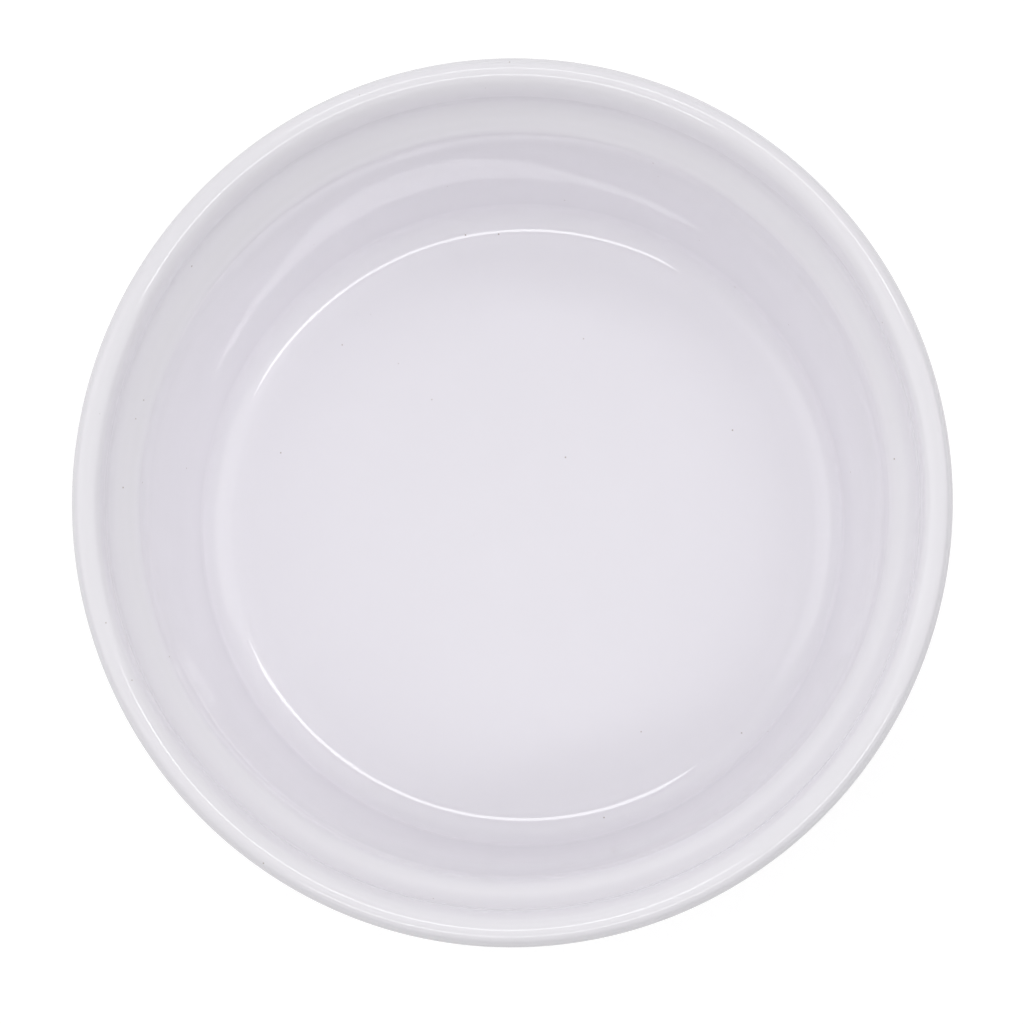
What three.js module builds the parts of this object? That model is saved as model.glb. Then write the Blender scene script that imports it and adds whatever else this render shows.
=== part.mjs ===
// A round, straight-lipped ramekin: a fired clay body, the glaze fused over it and the glaze under its foot.
// Millimetres, +Z up, the axis of the dish on Z and the foot ring standing on z = 0.
import * as THREE from "three";

// Overall sizes
const RIM_DIAMETER = 89; // across the widest part of the lip
const HEIGHT = 44.5; // table to the crest of the lip

// Lip: a rounded edge whose crest lies nearer the outside
const LIP_THICKNESS = 3.65; // widest part outside to the steep collar inside
const LIP_CREST_INSET = 1.35; // widest part outside to the crest
const LIP_OUTER_DROP = 1.3; // crest down to the widest part
const LIP_INNER_DROP = 3.15; // crest down to the collar

// Inside, from the lip down: steep collar, sloping shoulder, flare, bowed wall, floor corner
const COLLAR_HEIGHT = 0.6;
const COLLAR_LEAN = 0.05; // each lean is how far a stretch comes in from top to bottom
const SHOULDER_HEIGHT = 4.1;
const SHOULDER_LEAN = 2.85;
const SHOULDER_EASE_TOP = 2.2; // how slowly the shoulder leaves the collar
const SHOULDER_EASE_FOOT = 1.2; // how slowly it turns into the flare
const FLARE_HEIGHT = 4.1; // where the wall begins to widen towards the shoulder
const FLARE_LEAN = 0.5;
const FLARE_EASE_FOOT = 2.25; // how slowly the flare leaves the wall
const FLARE_EASE_TOP = 0.6; // how slowly it turns into the shoulder
const FLARE_SLOPE = 0.24; // its lean per height where it meets the shoulder
const WALL_LEAN = 3;
const WALL_BOW = 0.3; // how far the middle of the wall lies outside a straight line
const CORNER_HEIGHT = 2.7;
const CORNER_WIDTH = 4.4;

// Outside: plain band under the lip, undercut, fluted wall, rounded edge, foot ring
const BAND_HEIGHT = 9.85; // widest part of the lip to the band's lower edge
const BAND_LEAN = 0.5;
const UNDERCUT_HEIGHT = 1.4;
const WALL_THICKNESS = 4.5; // measured level, from the flutes' ridges to the inside
const FLUTE_COUNT = 36;
const FLUTE_DEPTH = 0.8;
const FLUTE_RUNOUT = 2.6; // height over which a flute fades out at each end
const EDGE_HEIGHT = 2; // rounded edge between the wall and the foot ring
const FOOT_INSET = 1.7; // wall's lower edge to the foot ring
const FOOT_HEIGHT = 1.2; // table to the glaze outside the foot ring
const FOOT_WIDTH = 3.2;
const FOOT_CHAMFER = 0.4;

// Floor and underside
const FLOOR_THICKNESS = 4; // glaze to glaze
const RECESS_DEPTH = 1.6; // table to the glaze inside the foot ring
const RECESS_CORNER = 0.8; // slope between the foot ring and the recess

// Glaze
const GLAZE_THICKNESS = 0.35;
const GLAZE_SEAT = 0.02; // clearance between the glaze and the clay that it is fused to
const WIPED_MARGIN = 0.6; // bare clay between the underside glaze and the recess's slope

// Fineness of the facets
const PLAIN_SEGMENTS = 2 * FLUTE_COUNT;
const FLUTED_SEGMENTS = 4 * FLUTE_COUNT;
const SURFACE_STEPS = 4; // points on each curve of the glazed surface
const BACKING_STEPS = 3; // points on each curve of the clay under it

// Radii and levels that follow from the sizes above
const rimRadius = RIM_DIAMETER / 2;
const lipInsideRadius = rimRadius - LIP_THICKNESS;
const collarFootRadius = lipInsideRadius - COLLAR_LEAN;
const flareRadius = collarFootRadius - SHOULDER_LEAN;
const wallTopRadius = flareRadius - FLARE_LEAN;
const wallFootRadius = wallTopRadius - WALL_LEAN;
const floorRadius = wallFootRadius - CORNER_WIDTH;
const bandFootRadius = rimRadius - BAND_LEAN;
const fluteTopRadius = wallTopRadius + WALL_THICKNESS;
const fluteFootRadius = wallFootRadius + WALL_THICKNESS;
const footRadius = fluteFootRadius - FOOT_INSET;

const recessLevel = RECESS_DEPTH;
const floorLevel = recessLevel + FLOOR_THICKNESS;
const wallFootLevel = floorLevel + CORNER_HEIGHT;
const widestLevel = HEIGHT - LIP_OUTER_DROP;
const collarTopLevel = HEIGHT - LIP_INNER_DROP;
const collarFootLevel = collarTopLevel - COLLAR_HEIGHT;
const flareLevel = collarFootLevel - SHOULDER_HEIGHT;
const wallTopLevel = flareLevel - FLARE_HEIGHT;
const bandFootLevel = widestLevel - BAND_HEIGHT;
const fluteTopLevel = bandFootLevel - UNDERCUT_HEIGHT;
const fluteFootLevel = FOOT_HEIGHT + EDGE_HEIGHT;

// A quarter of an ellipse, from where the path is now to (x, y), leaving it upright or level.
function quarterTurn(path, x, y, leavesUpright) {
  const handle = 0.5523; // share of the half axis that makes a cubic curve follow an ellipse
  const from = path.currentPoint.clone();
  const nearStart = leavesUpright
    ? [from.x, from.y + handle * (y - from.y)]
    : [from.x + handle * (x - from.x), from.y];
  const nearEnd = leavesUpright
    ? [x - handle * (x - from.x), y]
    : [x, y - handle * (y - from.y)];
  path.bezierCurveTo(...nearStart, ...nearEnd, x, y);
}

// The place reached from (radius, level) by going up, outwards at a slope.
function risen(radius, level, slope, rise) {
  return [radius + slope * rise, level + rise];
}

// Half of the glazed surface in section, from the middle of the floor up and over the lip to the flutes.
function upperSection() {
  const bowRadius = (wallTopRadius + wallFootRadius) / 2 + 2 * WALL_BOW;
  const bowLevel = (wallTopLevel + wallFootLevel) / 2;
  const wallFootSlope = (bowRadius - wallFootRadius) / (bowLevel - wallFootLevel);
  const wallTopSlope = (wallTopRadius - bowRadius) / (wallTopLevel - bowLevel);
  const collarSlope = COLLAR_LEAN / COLLAR_HEIGHT;
  const corner = risen(wallFootRadius, wallFootLevel, wallFootSlope, -CORNER_HEIGHT);
  const leaveWall = risen(wallTopRadius, wallTopLevel, wallTopSlope, FLARE_EASE_FOOT);
  const reachFlare = risen(flareRadius, flareLevel, FLARE_SLOPE, -FLARE_EASE_TOP);
  const leaveFlare = risen(flareRadius, flareLevel, FLARE_SLOPE, SHOULDER_EASE_FOOT);
  const reachCollar = risen(collarFootRadius, collarFootLevel, collarSlope, -SHOULDER_EASE_TOP);
  const path = new THREE.Path();
  path.moveTo(0, floorLevel);
  path.lineTo(floorRadius, floorLevel);
  path.quadraticCurveTo(...corner, wallFootRadius, wallFootLevel);
  path.quadraticCurveTo(bowRadius, bowLevel, wallTopRadius, wallTopLevel);
  path.bezierCurveTo(...leaveWall, ...reachFlare, flareRadius, flareLevel);
  path.bezierCurveTo(...leaveFlare, ...reachCollar, collarFootRadius, collarFootLevel);
  path.lineTo(lipInsideRadius, collarTopLevel);
  quarterTurn(path, rimRadius - LIP_CREST_INSET, HEIGHT, true);
  quarterTurn(path, rimRadius, widestLevel, false);
  path.lineTo(bandFootRadius, bandFootLevel);
  quarterTurn(path, fluteTopRadius, fluteTopLevel, true);
  return path;
}

// The rest of that surface, from the foot of the flutes round the edge to the foot ring.
function lowerSection() {
  const path = new THREE.Path();
  path.moveTo(fluteFootRadius, fluteFootLevel);
  quarterTurn(path, footRadius, FOOT_HEIGHT, true);
  return path;
}

// The whole section as points, each with the depth of the flutes there.
function glazedPoints(steps) {
  const smooth = (point) => ({ r: point.x, z: point.y, flute: 0 });
  const fluted = (level) => {
    const share = (level - fluteFootLevel) / (fluteTopLevel - fluteFootLevel);
    const r = THREE.MathUtils.lerp(fluteFootRadius, fluteTopRadius, share);
    return { r, z: level, flute: FLUTE_DEPTH };
  };
  return [
    ...upperSection().getPoints(steps).map(smooth),
    fluted(fluteTopLevel - FLUTE_RUNOUT),
    fluted(fluteFootLevel + FLUTE_RUNOUT),
    ...lowerSection().getPoints(steps).map(smooth),
  ];
}

// The same section moved into the clay by a depth. Its ends stay on the axis and beside the foot ring.
function sunkPoints(depth) {
  const surface = glazedPoints(BACKING_STEPS);
  return surface.map((point, i) => {
    const before = surface[Math.max(i - 1, 0)];
    const after = surface[Math.min(i + 1, surface.length - 1)];
    const inward = (a, b) => new THREE.Vector2(b.z - a.z, a.r - b.r).normalize();
    const arriving = i > 0 ? inward(before, point) : new THREE.Vector2(0, -1);
    const leaving = i < surface.length - 1 ? inward(point, after) : new THREE.Vector2(0, 1);
    const middle = arriving.clone().add(leaving).normalize();
    const reach = depth / middle.dot(arriving);
    return { r: point.r + middle.x * reach, z: point.z + middle.y * reach, flute: point.flute };
  });
}

// The corners of one ring round the axis. A fluted ring is drawn in between the flutes' ridges.
function ringCorners({ r, z, flute }) {
  if (r === 0) return [new THREE.Vector3(0, 0, z)];
  const count = flute > 0 ? FLUTED_SEGMENTS : PLAIN_SEGMENTS;
  return Array.from({ length: count }, (_, i) => {
    const angle = (2 * Math.PI * i) / count;
    const radius = r - flute * Math.abs(Math.sin((angle * FLUTE_COUNT) / 2));
    return new THREE.Vector3(radius * Math.cos(angle), radius * Math.sin(angle), z);
  });
}

// Triangles between two rings, which may differ in their number of corners.
function stitch(lower, upper, corners) {
  const lowerSteps = lower.length > 1 ? lower.length : 0;
  const upperSteps = upper.length > 1 ? upper.length : 0;
  let i = 0;
  let j = 0;
  while (i < lowerSteps || j < upperSteps) {
    const here = lower[i % lower.length];
    const there = upper[j % upper.length];
    if (j === upperSteps || (i < lowerSteps && (i + 1) * upperSteps <= (j + 1) * lowerSteps)) {
      i += 1;
      corners.push(here, lower[i % lower.length], there);
    } else {
      j += 1;
      corners.push(here, upper[j % upper.length], there);
    }
  }
}

// A closed solid whose section runs through the points, from the axis back to the axis, either way round.
function turnedSolid(points) {
  const rings = points.map(ringCorners);
  const corners = [];
  for (let k = 1; k < rings.length; k += 1) stitch(rings[k - 1], rings[k], corners);
  const outline = points.map(({ r, z }) => new THREE.Vector2(r, z));
  if (THREE.ShapeUtils.isClockWise(outline)) corners.reverse();
  const geometry = new THREE.BufferGeometry().setFromPoints(corners);
  geometry.computeVertexNormals();
  return geometry;
}

function clayBodyGeometry() {
  const ringInside = footRadius - FOOT_WIDTH;
  const clayRecess = recessLevel + GLAZE_THICKNESS + GLAZE_SEAT;
  const underside = [
    [footRadius, FOOT_CHAMFER],
    [footRadius - FOOT_CHAMFER, 0],
    [ringInside, 0],
    [ringInside - RECESS_CORNER, clayRecess],
    [0, clayRecess],
  ];
  const foot = underside.map(([r, z]) => ({ r, z, flute: 0 }));
  return turnedSolid([...sunkPoints(GLAZE_THICKNESS + GLAZE_SEAT), ...foot]);
}

function glazeCoatGeometry() {
  return turnedSolid([...sunkPoints(GLAZE_THICKNESS), ...glazedPoints(SURFACE_STEPS).reverse()]);
}

function undersideGlazeGeometry() {
  const edge = footRadius - FOOT_WIDTH - RECESS_CORNER - WIPED_MARGIN;
  const section = [
    [0, recessLevel],
    [edge - GLAZE_THICKNESS, recessLevel],
    [edge, recessLevel + GLAZE_THICKNESS],
    [0, recessLevel + GLAZE_THICKNESS],
  ];
  return turnedSolid(section.map(([r, z]) => ({ r, z, flute: 0 })));
}

const glaze = { color: 0xe9e7ed, roughness: 0.1, metalness: 0 };
const bareClay = { color: 0xe7dfd0, roughness: 0.85, metalness: 0 };

const ramekin = new THREE.Group();
const pieces = [
  ["clay_body", clayBodyGeometry(), bareClay],
  ["glaze_coat", glazeCoatGeometry(), glaze],
  ["underside_glaze", undersideGlazeGeometry(), glaze],
];
for (const [name, geometry, finish] of pieces) {
  const mesh = new THREE.Mesh(geometry, new THREE.MeshStandardMaterial(finish));
  mesh.name = name;
  ramekin.add(mesh);
}

export default ramekin;
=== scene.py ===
# %% [markdown]
# # A white ramekin
# A ramekin is one pressed clay dish under a coat of white glaze. The solid model gives its size and its
# three pieces: the clay, the glaze over it and the glaze under its foot. Here they are dressed for the eye,
# with fine smooth surfaces in place of facets. Every object is in metres in the solid model's own frame, so
# a piece made at the sizes below already sits in its place and nothing has to be fitted.

# %% Load the solid model
import math

import bpy
from mathutils import Matrix, Vector


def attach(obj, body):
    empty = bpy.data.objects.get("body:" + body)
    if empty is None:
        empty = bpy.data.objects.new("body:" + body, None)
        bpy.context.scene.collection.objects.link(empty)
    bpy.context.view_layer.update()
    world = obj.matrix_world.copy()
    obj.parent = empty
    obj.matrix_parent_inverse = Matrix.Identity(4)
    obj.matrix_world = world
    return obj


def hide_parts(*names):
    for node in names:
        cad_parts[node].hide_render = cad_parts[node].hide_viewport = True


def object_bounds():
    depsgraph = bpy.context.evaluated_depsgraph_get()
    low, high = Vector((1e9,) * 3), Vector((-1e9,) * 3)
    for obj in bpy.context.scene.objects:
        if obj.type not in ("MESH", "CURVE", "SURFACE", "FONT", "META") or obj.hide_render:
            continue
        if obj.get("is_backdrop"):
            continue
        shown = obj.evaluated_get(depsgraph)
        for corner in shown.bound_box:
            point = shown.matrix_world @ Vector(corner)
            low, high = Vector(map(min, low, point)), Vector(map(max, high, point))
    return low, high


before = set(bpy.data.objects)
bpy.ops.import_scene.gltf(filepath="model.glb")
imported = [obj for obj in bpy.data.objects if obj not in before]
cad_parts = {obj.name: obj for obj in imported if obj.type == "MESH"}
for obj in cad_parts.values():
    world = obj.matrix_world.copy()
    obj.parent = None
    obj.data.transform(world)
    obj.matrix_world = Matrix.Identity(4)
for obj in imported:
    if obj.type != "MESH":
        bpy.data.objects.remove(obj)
cad_low, cad_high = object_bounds()
MM = 0.001
rim_radius = cad_high.x / MM
height = cad_high.z / MM
print("nodes:", sorted(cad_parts))
print("rim radius", round(rim_radius, 2), "mm, height", round(height, 2), "mm")

# %% [markdown]
# ## The section
# Round ware is pressed or turned against a template, so one line in section says nearly everything about
# its shape. The line here starts in the middle of the floor, rises up the inside, rolls over the lip, comes
# down the outside and stops at the foot ring. It could be drawn by hand as a curve object. It is worked out
# from named sizes instead, so that each stretch can be measured and changed by itself. Sizes are in
# millimetres.

# %% Sizes of the inside and the lip
LIP_THICKNESS = 3.65
LIP_CREST_INSET = 1.35
LIP_OUTER_DROP = 1.3
LIP_INNER_DROP = 3.15
COLLAR_HEIGHT = 0.6
COLLAR_LEAN = 0.05
SHOULDER_HEIGHT = 4.1
SHOULDER_LEAN = 2.85
SHOULDER_EASE_TOP = 2.2
SHOULDER_EASE_FOOT = 1.2
FLARE_HEIGHT = 4.1
FLARE_LEAN = 0.5
FLARE_EASE_FOOT = 2.25
FLARE_EASE_TOP = 0.6
FLARE_SLOPE = 0.24
WALL_LEAN = 3.0
WALL_BOW = 0.3
CORNER_HEIGHT = 2.7
CORNER_WIDTH = 4.4

collar_radius = rim_radius - LIP_THICKNESS
shoulder_radius = collar_radius - COLLAR_LEAN
flare_radius = shoulder_radius - SHOULDER_LEAN
wall_top_radius = flare_radius - FLARE_LEAN
wall_foot_radius = wall_top_radius - WALL_LEAN
floor_radius = wall_foot_radius - CORNER_WIDTH
print("radii inside: collar", round(collar_radius, 2), "wall", round(wall_top_radius, 2))
print("wall foot", round(wall_foot_radius, 2), "floor", round(floor_radius, 2))

# %% Sizes of the outside, the floor and the foot
BAND_HEIGHT = 9.85
BAND_LEAN = 0.5
UNDERCUT_HEIGHT = 1.4
WALL_THICKNESS = 4.5
FLUTE_COUNT = 36
FLUTE_DEPTH = 0.8
FLUTE_RUNOUT = 2.6
EDGE_HEIGHT = 2.0
FOOT_INSET = 1.7
FOOT_HEIGHT = 1.2
FOOT_WIDTH = 3.2
FOOT_CHAMFER = 0.4
FLOOR_THICKNESS = 4.0
RECESS_DEPTH = 1.6
RECESS_CORNER = 0.8
GLAZE_THICKNESS = 0.35
GLAZE_SEAT = 0.02
WIPED_MARGIN = 0.6

flute_top_radius = wall_top_radius + WALL_THICKNESS
flute_foot_radius = wall_foot_radius + WALL_THICKNESS
foot_radius = flute_foot_radius - FOOT_INSET
floor_level = RECESS_DEPTH + FLOOR_THICKNESS
wall_foot_level = floor_level + CORNER_HEIGHT
widest_level = height - LIP_OUTER_DROP
collar_level = height - LIP_INNER_DROP
shoulder_level = collar_level - COLLAR_HEIGHT
flare_level = shoulder_level - SHOULDER_HEIGHT
wall_top_level = flare_level - FLARE_HEIGHT
band_foot_level = widest_level - BAND_HEIGHT
flute_top_level = band_foot_level - UNDERCUT_HEIGHT
flute_foot_level = FOOT_HEIGHT + EDGE_HEIGHT
print("levels: floor", round(floor_level, 2), "top of the wall", round(wall_top_level, 2))
print("top of the shoulder", round(shoulder_level, 2), "foot of the flutes", round(flute_foot_level, 2))

# %% [markdown]
# ## Drawing a curve
# A Bezier curve is found by moving along the lines between its handles, then along the lines between those
# points, until one point is left. That works for any number of handles, so one short function draws the
# bowed wall, the S of the shoulder and the rounded lip. A quarter of an ellipse is the same curve with its
# handles at 0.5523 of each half axis.

# %% Curves through handles
ELLIPSE_HANDLE = 0.5523


def curve(handles, steps):
    """Points along a Bezier curve, without its first one."""
    points = []
    for step in range(1, steps + 1):
        level = [Vector(handle) for handle in handles]
        while len(level) > 1:
            level = [a.lerp(b, step / steps) for a, b in zip(level, level[1:])]
        points.append(level[0])
    return points


def quarter(start, end, steps, leaves_upright):
    """A quarter of an ellipse from start to end, which leaves start upright or level."""
    start, end = Vector(start), Vector(end)
    across = Vector((end.x - start.x, 0)) * ELLIPSE_HANDLE
    along = Vector((0, end.y - start.y)) * ELLIPSE_HANDLE
    if leaves_upright:
        return curve([start, start + along, end - across, end], steps)
    return curve([start, start + across, end - along, end], steps)


halfway = quarter((1, 0), (0, 1), 2, True)[0]
print("a quarter circle's middle lies at", round(halfway.length, 4), "of its radius")

# %% The glazed surface in section
def risen(point, slope, rise):
    """The place reached from a point by going up, outwards at a slope."""
    return (point[0] + slope * rise, point[1] + rise)


def inside_section():
    """From the middle of the floor to the top of the collar."""
    bow = Vector((0, (wall_top_level + wall_foot_level) / 2))
    bow.x = (wall_top_radius + wall_foot_radius) / 2 + 2 * WALL_BOW
    foot_slope = (bow.x - wall_foot_radius) / (bow.y - wall_foot_level)
    top_slope = (wall_top_radius - bow.x) / (wall_top_level - bow.y)
    floor_edge = (floor_radius, floor_level)
    wall_foot = (wall_foot_radius, wall_foot_level)
    wall_top = (wall_top_radius, wall_top_level)
    flare_top = (flare_radius, flare_level)
    shoulder = (shoulder_radius, shoulder_level)
    corner = risen(wall_foot, foot_slope, -CORNER_HEIGHT)
    leave_wall = risen(wall_top, top_slope, FLARE_EASE_FOOT)
    reach_flare = risen(flare_top, FLARE_SLOPE, -FLARE_EASE_TOP)
    leave_flare = risen(flare_top, FLARE_SLOPE, SHOULDER_EASE_FOOT)
    reach_collar = risen(shoulder, COLLAR_LEAN / COLLAR_HEIGHT, -SHOULDER_EASE_TOP)
    points = [Vector((0, floor_level))]
    points += curve([(0, floor_level), floor_edge], 10)
    points += curve([floor_edge, corner, wall_foot], 18)
    points += curve([wall_foot, bow, wall_top], 24)
    points += curve([wall_top, leave_wall, reach_flare, flare_top], 16)
    points += curve([flare_top, leave_flare, reach_collar, shoulder], 24)
    points += curve([shoulder, (collar_radius, collar_level)], 4)
    print("wall leans", round(foot_slope, 3), "at its foot and", round(top_slope, 3), "at its top")
    return points


def lip_section():
    """From the top of the collar over the crest to the widest part."""
    crest = (rim_radius - LIP_CREST_INSET, height)
    points = quarter((collar_radius, collar_level), crest, 18, True)
    return points + quarter(crest, (rim_radius, widest_level), 16, False)


UNDERCUT_FILLET = 0.6  # glaze that gathers in the angle under the band


def outside_section():
    """From the widest part down the band and the fluted wall to the foot ring."""
    band_foot = (rim_radius - BAND_LEAN, band_foot_level)
    under_band = (flute_top_radius + UNDERCUT_FILLET, flute_top_level)
    wall = Vector((flute_foot_radius - flute_top_radius, flute_foot_level - flute_top_level)).normalized()
    flute_top = Vector((flute_top_radius, flute_top_level)) + wall * UNDERCUT_FILLET
    flute_foot = (flute_foot_radius, flute_foot_level)
    points = curve([(rim_radius, widest_level), band_foot], 8)
    points += quarter(band_foot, under_band, 10, True)
    points += curve([under_band, (flute_top_radius, flute_top_level), flute_top], 6)
    points += curve([flute_top, flute_foot], 40)
    points += quarter(flute_foot, (foot_radius, FOOT_HEIGHT), 12, True)
    return points


print("wall between the outside and the inside:", WALL_THICKNESS, "mm")

# %% [markdown]
# ## Turning the section
# The Screw modifier would turn a section into a plain dish. This wall is fluted, and the glaze needs to know
# where it has run thin and where it has pooled, so the rings are made in a loop that can do both. A flute is
# a hollow between two ridges: the ring is drawn in by the size of a sine, whose corner at each ridge is
# rounded off because glaze never keeps a knife edge. The flutes fade out over a short run at both ends.

# %% Flutes
SEGMENTS = 360
RIDGE_ROUNDING = 0.2
LIP_WARP = 0.0114  # the lip is this share narrower along X, drawn in a little by the fire
WARP_REACH = 0.8  # mm from the inside of the lip over which it sets in


def flute_hollow(angle):
    """0 on a ridge of the wall, 1 in the middle of a flute."""
    sine = math.sin(angle * FLUTE_COUNT / 2)
    rounded = math.hypot(sine, RIDGE_ROUNDING) - RIDGE_ROUNDING
    return rounded / (math.hypot(1, RIDGE_ROUNDING) - RIDGE_ROUNDING)


def flute_strength(point):
    """How deep the flutes are at a point of the outside, from 0 to 1."""
    room = min(flute_top_level - point.y, point.y - flute_foot_level) / FLUTE_RUNOUT
    room = max(0.0, min(room, 1.0))
    return room * room * (3 - 2 * room)


plain_section = inside_section() + lip_section()
fluted_section = outside_section()
glazed_section = plain_section + fluted_section
strengths = [0.0] * len(plain_section) + [flute_strength(point) for point in fluted_section]


def lip_share(point):
    """1 from the crest outwards, fading to 0 at the inside of the lip and at the foot of the band."""
    inside = (point.x - collar_radius) / WARP_REACH
    outside = (point.y - band_foot_level) / BAND_HEIGHT
    return max(0.0, min(inside, outside, 1.0))


warps = [LIP_WARP * lip_share(point) for point in glazed_section]
print(len(glazed_section), "points in the section,", SEGMENTS // FLUTE_COUNT, "segments to a flute")

# %% [markdown]
# ## Thin and thick glaze, with painted shade and light
# Molten glaze creeps off edges and gathers in hollows before it sets. The bend of the section tells which is
# which: a left turn along the line is a hollow, a right turn is an edge. A hollow high on the wall drains,
# and what it loses lies in the floor's corner, where it spreads a little before it sets. The bend is kept on
# each point as an attribute, and the glaze material reads it later to grey the thin places and whiten the
# thick ones. The grey is also painted shade, which dims the lip's crest and flanks. The white in the floor's
# corner is also painted light, which lifts a corner that would otherwise render dim.

# %% How the section bends
EDGE_REACH = 1.2  # mm: a bend of this radius counts in full
# The spread also sets how far the painted light in the floor's corner reaches.
POOL_SPREAD = 1.5  # mm: how far the melt spreads out of a hollow before it sets


def bend(points, index):
    """From -1 on a sharp edge through 0 on a flat to 1 in a sharp hollow."""
    if index in (0, len(points) - 1):
        return 0.0
    before = points[index] - points[index - 1]
    after = points[index + 1] - points[index]
    turn = math.atan2(before.cross(after), before.dot(after))
    return max(-1.0, min(1.0, 2 * turn / (before.length + after.length) * EDGE_REACH))


def pool_only_in_corner(point, bent):
    """The bend of a point, with hollows above the wall's foot counted as flat, so that thick glaze, and with
    it the painted light, lies only in the floor's corner.
    """
    return min(bent, 0.0) if point.y > wall_foot_level else bent


def spread_bend(points, values, middle):
    """The bend at a point averaged with those of its neighbours within the spread."""
    near = [value for point, value in zip(points, values) if (point - middle).length < POOL_SPREAD]
    return sum(near) / len(near)


sharp = [bend(glazed_section, index) for index in range(len(glazed_section))]
edges_and_corner_pool = [pool_only_in_corner(point, bent) for point, bent in zip(glazed_section, sharp)]
glaze_and_light_bends = [spread_bend(glazed_section, edges_and_corner_pool, point) for point in glazed_section]
print("bends from", round(min(glaze_and_light_bends), 2), "on the lip to", round(max(glaze_and_light_bends), 2), "in the floor's corner")

# %% Rings into a mesh
FLUTE_MEAN = 0.5  # glaze is thin where a flute is less hollow than this, and thick where it is more


def turned(name, section):
    """An object turned round the Z axis from (point, flute strength, bend, warp) entries of a section."""
    corners, faces, pools_and_painted_light, rings = [], [], [], []
    for point, strength, bent, warp in section:
        count = SEGMENTS if point.x > 0 else 1
        rings.append(range(len(corners), len(corners) + count))
        for step in range(count):
            angle = 2 * math.pi * step / SEGMENTS
            hollow = flute_hollow(angle) * strength
            radius = (point.x - FLUTE_DEPTH * hollow) * MM
            corners.append((radius * math.cos(angle) * (1 - warp), radius * math.sin(angle), point.y * MM))
            # Glaze thickness on the flutes plus the section's bend, which carries painted shade on the lip
            # and painted light in the floor's corner.
            pools_and_painted_light.append(bent + hollow - FLUTE_MEAN * strength)
    for low, high in zip(rings, rings[1:]):
        for step in range(SEGMENTS):
            after = (step + 1) % SEGMENTS
            face = [low[step % len(low)], low[after % len(low)]]
            face += [high[after % len(high)], high[step % len(high)]]
            faces.append(list(dict.fromkeys(face)))
    mesh = bpy.data.meshes.new(name)
    mesh.from_pydata(corners, [], faces)
    # This attribute holds thin and thick glaze, and with it painted shade on the lip and painted light in the
    # floor's corner.
    mesh.attributes.new("glaze_pool_and_painted_light", "FLOAT", "POINT").data.foreach_set("value", pools_and_painted_light)
    mesh.shade_smooth()
    piece = bpy.data.objects.new(name, mesh)
    bpy.context.scene.collection.objects.link(piece)
    print(name, "has", len(corners), "points and", len(faces), "faces")
    return piece


def sunk(points, depth):
    """The section moved into the clay by a depth, with its ends kept on the axis and beside the foot ring."""
    moved = []
    for index, point in enumerate(points):
        before = points[max(index - 1, 0)]
        after = points[min(index + 1, len(points) - 1)]
        along = (after - before).normalized()
        moved.append(point + Vector((along.y, -along.x)) * depth)
    moved[0].x = 0
    moved[-1] = points[-1] + Vector((0, depth))
    return moved


# %% [markdown]
# ## The three pieces
# The glaze coat is the skin that the eye meets, from the floor over the lip to a wiped edge above the foot.
# The clay shows only as the foot ring, which is sponged clean so that it can't stick to the kiln shelf.
# Inside the ring lies a third piece, a disc of glaze with a soft edge. Each piece rides on the part's one
# body and stands in for the node of the same name.

# %% Glaze coat
backing = sunk(glazed_section, GLAZE_THICKNESS)
flat = [0.0] * len(glazed_section)
# The front face carries the bends, with their painted shade and light; the back face has none.
glaze_front = list(zip(glazed_section, strengths, glaze_and_light_bends, warps))
glaze_back = list(zip(backing, strengths, flat, warps))
glaze_coat = turned("glaze_coat_smooth", glaze_back + glaze_front[::-1])

# %% Clay body with its foot ring
ring_inside = foot_radius - FOOT_WIDTH
clay_recess = RECESS_DEPTH + GLAZE_THICKNESS + GLAZE_SEAT
ring_edge = (foot_radius - FOOT_CHAMFER, 0)
slope_top = (ring_inside - RECESS_CORNER, clay_recess)
foot_points = quarter((foot_radius, FOOT_CHAMFER), ring_edge, 6, True)
foot_points += curve([ring_edge, (ring_inside, 0)], 8)
foot_points += curve([(ring_inside, 0), (ring_inside - FOOT_CHAMFER, 0), slope_top], 8)
foot_points += curve([slope_top, (0, clay_recess)], 10)
clay_entries = list(zip(sunk(glazed_section, GLAZE_THICKNESS + GLAZE_SEAT), strengths, flat, warps))
clay_entries += [(point, 0, 0, 0) for point in [Vector((foot_radius, FOOT_CHAMFER))] + foot_points]
clay_body = turned("clay_body_smooth", clay_entries[::-1])

# %% Glaze under the foot
disc_edge = ring_inside - RECESS_CORNER - WIPED_MARGIN
disc_middle = (disc_edge - 2 * GLAZE_THICKNESS, RECESS_DEPTH)
disc_points = [Vector((0, RECESS_DEPTH))] + curve([(0, RECESS_DEPTH), disc_middle], 10)
disc_points += quarter(disc_middle, (disc_edge, RECESS_DEPTH + GLAZE_THICKNESS), 8, False)
disc_points += curve([disc_points[-1], (0, RECESS_DEPTH + GLAZE_THICKNESS)], 3)
underside_glaze = turned("underside_glaze_smooth", [(point, 0, 0, 0) for point in disc_points])

pieces = (
    (glaze_coat, "glaze_coat", "white_glaze"),
    (clay_body, "clay_body", "fired_clay"),
    (underside_glaze, "underside_glaze", "white_glaze"),
)
for piece, node, slot in pieces:
    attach(piece, "root")
    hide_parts(node)

# %% [markdown]
# ## Materials
# A colour picked from a picture is in sRGB, and Blender wants linear light, so one function turns hex into
# linear. Another adds a node with its settings and links. Noise patterns repeat once in about 1 / scale
# metres, so a scale is worked out from the real size of the pattern.

# %% Helpers for node materials
def linear(hex_colour):
    """Linear RGBA from an sRGB hex colour."""
    parts = [int(hex_colour[place:place + 2], 16) / 255 for place in (1, 3, 5)]
    return [part / 12.92 if part <= 0.04045 else ((part + 0.055) / 1.055) ** 2.4 for part in parts] + [1.0]


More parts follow.
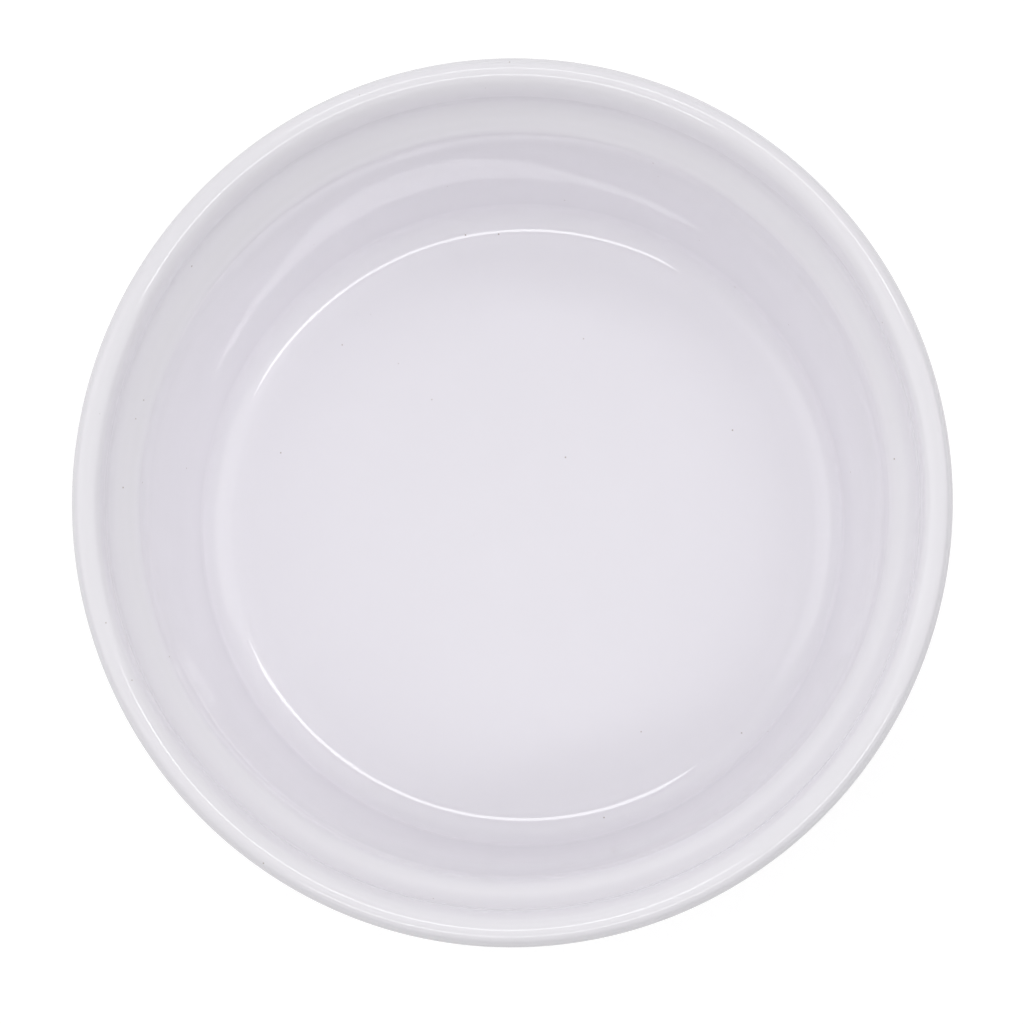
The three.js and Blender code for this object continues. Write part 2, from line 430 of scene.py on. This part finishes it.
def add(tree, kind, values=None, links=None, **settings):
    """A new node with plain settings, socket values and links from other nodes' outputs."""
    node = tree.nodes.new(kind)
    for name, value in settings.items():
        setattr(node, name, value)
    for socket, value in (values or {}).items():
        node.inputs[socket].default_value = value
    for socket, source in (links or {}).items():
        tree.links.new(source, node.inputs[socket])
    return node


def per_metre(size_mm):
    """Scale of a pattern that repeats about once in a size in millimetres."""
    return 1 / (size_mm * MM)


def new_material(name):
    """An empty node material and its tree."""
    material = bpy.data.materials.new(name)
    material.use_nodes = True
    material.node_tree.nodes.clear()
    return material, material.node_tree


print("mid grey #808080 is", round(linear("#808080")[0], 3), "in linear light")

# %% [markdown]
# ## White glaze
# The glaze is glass made opaque with fine white grains, so it is a diffuse white under a clear, sharp gloss.
# The white leans a little to violet. Four things keep it from looking like plastic: a faint cloudiness in the
# white; the thin and thick places kept on the mesh, which are also painted shade on the lip and painted light
# in the floor's corner; a few pinhead specks of iron; and a surface that is almost flat but not quite, so
# that reflected lamps have slightly wavering edges.

# %% White tin-opacified glaze, dipped and fired glossy
GLAZE_WHITE = "#F6F4F9"
GLAZE_CLOUD = "#F4F2F7"
# The thin-glaze grey is partly painted shade on the lip, and the thick-glaze white is partly painted light in
# the floor's corner.
GLAZE_THIN_PAINTED_SHADE = "#EAE8ED"
GLAZE_THICK_PAINTED_LIGHT = "#FCFAFF"
SPECK_BROWN = "#C0B6B2"
GLASS_IOR = 1.6

glaze, tree = new_material("white tin-opacified glaze, dipped and fired")
place = add(tree, "ShaderNodeTexCoord").outputs["Object"]

# Clouds about 9 mm across: grains of opacifier are never spread quite evenly.
cloud = add(tree, "ShaderNodeTexNoise", {"Scale": per_metre(9), "Detail": 4, "Roughness": 0.55},
            {"Vector": place})
white = add(tree, "ShaderNodeMixRGB", {"Color1": linear(GLAZE_WHITE), "Color2": linear(GLAZE_CLOUD)},
            {"Fac": cloud.outputs["Fac"]})

# Thin glaze on edges lets the clay show through, and thick glaze in hollows hides it, so that is whitest. The
# grey of thin glaze is also painted shade on the lip, and the white of thick glaze is also painted light in
# the floor's corner.
pool_and_light = add(tree, "ShaderNodeAttribute", attribute_name="glaze_pool_and_painted_light").outputs["Fac"]
thin_and_shade = add(tree, "ShaderNodeMapRange", {"From Min": -0.15, "From Max": -1.0, "To Max": 0.8}, {"Value": pool_and_light})
thick_and_light = add(tree, "ShaderNodeMapRange", {"From Min": 0.08, "From Max": 0.3}, {"Value": pool_and_light})
edged_and_shaded = add(tree, "ShaderNodeMixRGB", {"Color2": linear(GLAZE_THIN_PAINTED_SHADE)},
            {"Fac": thin_and_shade.outputs["Result"], "Color1": white.outputs["Color"]})
filled_and_lit = add(tree, "ShaderNodeMixRGB", {"Color2": linear(GLAZE_THICK_PAINTED_LIGHT)},
             {"Fac": thick_and_light.outputs["Result"], "Color1": edged_and_shaded.outputs["Color"]})

# Iron specks: every second cell of a 3 mm pattern holds a soft dot up to 0.24 mm across. Distances are shares
# of a cell.
cells = add(tree, "ShaderNodeTexVoronoi", {"Scale": per_metre(3)}, {"Vector": place})
near = add(tree, "ShaderNodeMapRange", {"From Min": 0.04, "From Max": 0.015},
           {"Value": cells.outputs["Distance"]})
chosen = add(tree, "ShaderNodeMath", {1: 0.5}, {0: cells.outputs["Color"]}, operation="GREATER_THAN")
speck = add(tree, "ShaderNodeMath", {}, {0: near.outputs["Result"], 1: chosen.outputs["Value"]},
            operation="MULTIPLY")
colour = add(tree, "ShaderNodeMixRGB", {"Color2": linear(SPECK_BROWN)},
             {"Fac": speck.outputs["Value"], "Color1": filled_and_lit.outputs["Color"]})

# Gloss is a little softer where the glaze is cloudy.
gloss = add(tree, "ShaderNodeMapRange", {"To Min": 0.015, "To Max": 0.045}, {"Value": cloud.outputs["Fac"]})

# Two slow swells: the clay's own unevenness, about 22 mm long and under 0.06 mm high, and the orange peel
# of the melt, about 5 mm long and under 0.012 mm high.
swell = add(tree, "ShaderNodeTexNoise", {"Scale": per_metre(22), "Detail": 1}, {"Vector": place})
peel = add(tree, "ShaderNodeTexNoise", {"Scale": per_metre(5), "Detail": 2}, {"Vector": place})
uneven = add(tree, "ShaderNodeBump", {"Strength": 1.0, "Distance": 0.06 * MM},
             {"Height": swell.outputs["Fac"]})
surface = add(tree, "ShaderNodeBump", {"Strength": 1.0, "Distance": 0.012 * MM},
              {"Height": peel.outputs["Fac"], "Normal": uneven.outputs["Normal"]})

shader = add(tree, "ShaderNodeBsdfPrincipled", {"IOR": GLASS_IOR},
             {"Base Color": colour.outputs["Color"], "Roughness": gloss.outputs["Result"],
              "Normal": surface.outputs["Normal"]})
add(tree, "ShaderNodeOutputMaterial", {}, {"Surface": shader.outputs["BSDF"]})
for piece in (glaze_coat, underside_glaze):
    piece.data.materials.append(glaze)
print("glaze base colour in linear light:", [round(part, 3) for part in linear(GLAZE_WHITE)[:3]])

# %% [markdown]
# ## Bare clay
# The foot ring is fired clay with no glaze, wiped with a sponge. It is matt, a warmer white than the glaze,
# and has the fine tooth of the clay's own grains, with a few darker ones.

# %% Bare fired clay, sponged
CLAY_CREAM = "#E4DBCB"
CLAY_SHADE = "#D3C7B3"
CLAY_GRAIN = "#B9A88F"

clay, tree = new_material("bare fired clay, sponged")
place = add(tree, "ShaderNodeTexCoord").outputs["Object"]
# Sponge marks a few millimetres across, and grains drawn at 0.5 mm: real ones are finer than a pixel.
marks = add(tree, "ShaderNodeTexNoise", {"Scale": per_metre(4), "Detail": 5}, {"Vector": place})
grain = add(tree, "ShaderNodeTexNoise", {"Scale": per_metre(0.5), "Detail": 3, "Roughness": 0.7},
            {"Vector": place})
dark = add(tree, "ShaderNodeMapRange", {"From Min": 0.62, "From Max": 0.75, "To Max": 0.7},
           {"Value": grain.outputs["Fac"]})
sponged = add(tree, "ShaderNodeMixRGB", {"Color1": linear(CLAY_CREAM), "Color2": linear(CLAY_SHADE)},
              {"Fac": marks.outputs["Fac"]})
grained = add(tree, "ShaderNodeMixRGB", {"Color2": linear(CLAY_GRAIN)},
              {"Fac": dark.outputs["Result"], "Color1": sponged.outputs["Color"]})
tooth = add(tree, "ShaderNodeBump", {"Strength": 0.6, "Distance": 0.05 * MM},
            {"Height": grain.outputs["Fac"]})
shader = add(tree, "ShaderNodeBsdfPrincipled", {"Roughness": 0.85, "IOR": 1.5},
             {"Base Color": grained.outputs["Color"], "Normal": tooth.outputs["Normal"]})
add(tree, "ShaderNodeOutputMaterial", {}, {"Surface": shader.outputs["BSDF"]})
clay_body.data.materials.append(clay)
print("clay covers", clay_body.name)

# %% [markdown]
# ## The ground
# A sheet of white card reaches far past the frame, so that low views of the dish have a white ground too.
# It is plain and matt, with the faint tooth of card, and it keeps the shadow of the dish. Part of its white
# is a glow that only the eye and the gloss of the glaze see, so it lights nothing.

# %% White card
CARD_GREY = "#B4B4B4"
CARD_SHADE = "#AEAEAE"
CARD_GLOW = 0.68
CARD_REACH = 3.0  # metres from the middle to each side

card_mesh = bpy.data.meshes.new("white_card")
signs = ((-1, -1), (1, -1), (1, 1), (-1, 1))
card_mesh.from_pydata([(x * CARD_REACH, y * CARD_REACH, 0) for x, y in signs], [], [(0, 1, 2, 3)])
card = bpy.data.objects.new("white_card", card_mesh)
bpy.context.scene.collection.objects.link(card)
paper, tree = new_material("white card, uncoated")
place = add(tree, "ShaderNodeTexCoord").outputs["Object"]
fibre = add(tree, "ShaderNodeTexNoise", {"Scale": per_metre(1.5), "Detail": 3}, {"Vector": place})
tone = add(tree, "ShaderNodeMixRGB", {"Color1": linear(CARD_GREY), "Color2": linear(CARD_SHADE)},
           {"Fac": fibre.outputs["Fac"]})
matt = add(tree, "ShaderNodeBsdfDiffuse", {}, {"Color": tone.outputs["Color"]})
ray = add(tree, "ShaderNodeLightPath")
seen = add(tree, "ShaderNodeMath", {}, {0: ray.outputs["Is Camera Ray"], 1: ray.outputs["Is Glossy Ray"]},
           operation="MAXIMUM")
seen = add(tree, "ShaderNodeMath", {}, {0: seen.outputs["Value"], 1: ray.outputs["Is Transmission Ray"]},
           operation="MAXIMUM")
share = add(tree, "ShaderNodeMath", {1: CARD_GLOW}, {0: seen.outputs["Value"]}, operation="MULTIPLY")
glow = add(tree, "ShaderNodeEmission", {"Color": linear("#FFFFFF")}, {"Strength": share.outputs["Value"]})
shader = add(tree, "ShaderNodeAddShader", {}, {0: matt.outputs["BSDF"], 1: glow.outputs["Emission"]})
add(tree, "ShaderNodeOutputMaterial", {}, {"Surface": shader.outputs["Shader"]})
card_mesh.materials.append(paper)
card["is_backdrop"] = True
print("card of", 2 * CARD_REACH, "m square")

# %% [markdown]
# ## Light
# The dish is lit as in a small photo tent: dim white cloth all round, a soft box on each side, and two strip
# lamps above, one behind the dish and one in front of it. The strips draw the fine bright lines along the
# lip and the floor's corner, and the boxes light the walls softly. Each strip has a twin that shows only in
# gloss, so its lines are bright while its shadow on the floor stays faint. A lamp's power is worked out from
# the brightness it should have to the eye: an area lamp looks as bright in Blender as its power over its
# area and pi. Together the lamps and the cloth light a level sheet at a strength of about 1, so that a colour
# renders about as it is written.

# %% Soft boxes and strip lamps
LAMP_DISTANCE = 6.0
GLEAM_DISTANCE = 5.5  # nearer than the others, so that a strip and its twin lie apart
STRIP_BRIGHTNESS = 2.3
GLEAM_BRIGHTNESS = 2.0
STRIP_WIDE = 6
BOX_WIDE = 40
LEFT_BRIGHTNESS = 0.64
RIGHT_BRIGHTNESS = 0.66


def facing(back, right):
    """Rotation of a lamp or camera that looks away from back, with its own X axis along right."""
    back = back.normalized()
    right = (right - back * right.dot(back)).normalized()
    return Matrix((right, back.cross(right), back)).transposed().to_euler()


def flat_lamp(name, compass, tilt, wide, tall, brightness, gloss_only=False):
    """A flat lamp that faces the dish, in a compass direction from +X and tilted so far from overhead.

    Its width and height are the angles in degrees that it fills as seen from the dish. A lamp for gloss only
    shows in reflections and lights nothing else.
    """
    distance = GLEAM_DISTANCE if gloss_only else LAMP_DISTANCE
    tilt, turn = math.radians(tilt), math.radians(compass)
    place = Vector((math.sin(tilt) * math.cos(turn), math.sin(tilt) * math.sin(turn), math.cos(tilt)))
    light = bpy.data.lights.new(name, "AREA")
    light.shape = "RECTANGLE"
    light.size = 2 * distance * math.tan(math.radians(wide / 2))
    light.size_y = 2 * distance * math.tan(math.radians(tall / 2))
    light.energy = math.pi * light.size * light.size_y * brightness
    lamp = bpy.data.objects.new(name, light)
    lamp.location = place * distance
    lamp.visible_diffuse = not gloss_only
    lamp.rotation_euler = facing(place, Vector((-math.sin(turn), math.cos(turn), 0)))
    bpy.context.scene.collection.objects.link(lamp)
    print(name, round(light.size, 2), "x", round(light.size_y, 2), "m,", round(light.energy, 1), "W")


for strip, compass, tilt, long in (("back_strip", 78.5, 22, 38.5), ("front_strip", -74, 23, 52)):
    flat_lamp(strip, compass, tilt, long, STRIP_WIDE, STRIP_BRIGHTNESS)
    flat_lamp(strip + "_gleam", compass, tilt, long, STRIP_WIDE, GLEAM_BRIGHTNESS, gloss_only=True)
flat_lamp("left_box", compass=180, tilt=43.5, wide=BOX_WIDE, tall=47, brightness=LEFT_BRIGHTNESS)
flat_lamp("right_box", compass=0, tilt=39.5, wide=BOX_WIDE, tall=51, brightness=RIGHT_BRIGHTNESS)

# %% White cloth all round
# TENT_RING is the brightness of the cloth by the height of a direction, from 0 on the horizon to 1 overhead.
# The cloth's lower part is brighter behind the dish and to its left, and TENT_LEAN says by how much along X,
# Y and Z.
TENT_RING = [(0.0, 0.75), (0.32, 0.37), (0.52, 0.8), (0.7, 0.69), (0.84, 0.52), (0.95, 0.68), (1.0, 1.05)]
TENT_LEAN = (-0.5, 0.78, 0.0)
world = bpy.data.worlds.new("photo_tent")
world.use_nodes = True
tree = world.node_tree
tree.nodes.clear()
way = add(tree, "ShaderNodeTexCoord").outputs["Generated"]
parts = add(tree, "ShaderNodeSeparateXYZ", {}, {"Vector": way})
ring = add(tree, "ShaderNodeValToRGB", {}, {"Fac": parts.outputs["Z"]})
stops = ring.color_ramp.elements
stops.remove(stops[0])
for place, strength in TENT_RING[:-1]:
    stops.new(place).color = (strength, strength, strength, 1)
stops[len(stops) - 1].color = (TENT_RING[-1][1],) * 3 + (1,)
low = add(tree, "ShaderNodeMath", {0: 1.0}, {1: parts.outputs["Z"]}, operation="SUBTRACT")
low = add(tree, "ShaderNodeMath", {1: 2.0}, {0: low.outputs["Value"]}, operation="POWER")
lean = add(tree, "ShaderNodeVectorMath", {1: TENT_LEAN}, {0: way}, operation="DOT_PRODUCT")
lean = add(tree, "ShaderNodeMath", {2: 1.0}, {0: lean.outputs["Value"], 1: low.outputs["Value"]},
           operation="MULTIPLY_ADD")
level = add(tree, "ShaderNodeMath", {}, {0: ring.outputs["Color"], 1: lean.outputs["Value"]},
            operation="MULTIPLY")
cloth = add(tree, "ShaderNodeBackground", {"Color": linear("#FFFFFF")}, {"Strength": level.outputs["Value"]})
add(tree, "ShaderNodeOutputWorld", {}, {"Surface": cloth.outputs["Background"]})
bpy.context.scene.world = world
print("tent strength from", min(s for _, s in TENT_RING), "to", max(s for _, s in TENT_RING))

# %% [markdown]
# ## Camera
# The photo is taken from above, a little in front of the dish and to its right, from about five rim widths
# away. The rim looks almost round and more of the far wall shows than of the near one. The lens follows from
# the distance and from how much of the table the picture spans at the level of the rim.

# %% Camera over the dish
CAMERA_OFFSET = Vector((15.5, -34.0, 450.0)) * MM
FRAME_SPAN = 101.9 * MM
AIM = Vector((0.15, -1.32, height)) * MM

camera_data = bpy.data.cameras.new("camera_above")
camera = bpy.data.objects.new("camera_above", camera_data)
camera.location = Vector((0, 0, height * MM)) + CAMERA_OFFSET
sight = camera.location - AIM
camera.rotation_euler = facing(sight, Vector((1, 0, 0)))
camera_data.lens = camera_data.sensor_width * sight.length / FRAME_SPAN
bpy.context.scene.collection.objects.link(camera)
bpy.context.scene.camera = camera
bpy.context.scene.view_settings.view_transform = "Standard"
print("lens", round(camera_data.lens, 1), "mm at", round(sight.length, 3), "m")

# %% [markdown]
# ## Last look at the size
# The dressed dish should fill the same box as the solid model and nowhere reach past it.

# %% Print the dressed dish's box
low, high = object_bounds()
print("box in mm:", [round(value / MM, 2) for value in list(low) + list(high)])
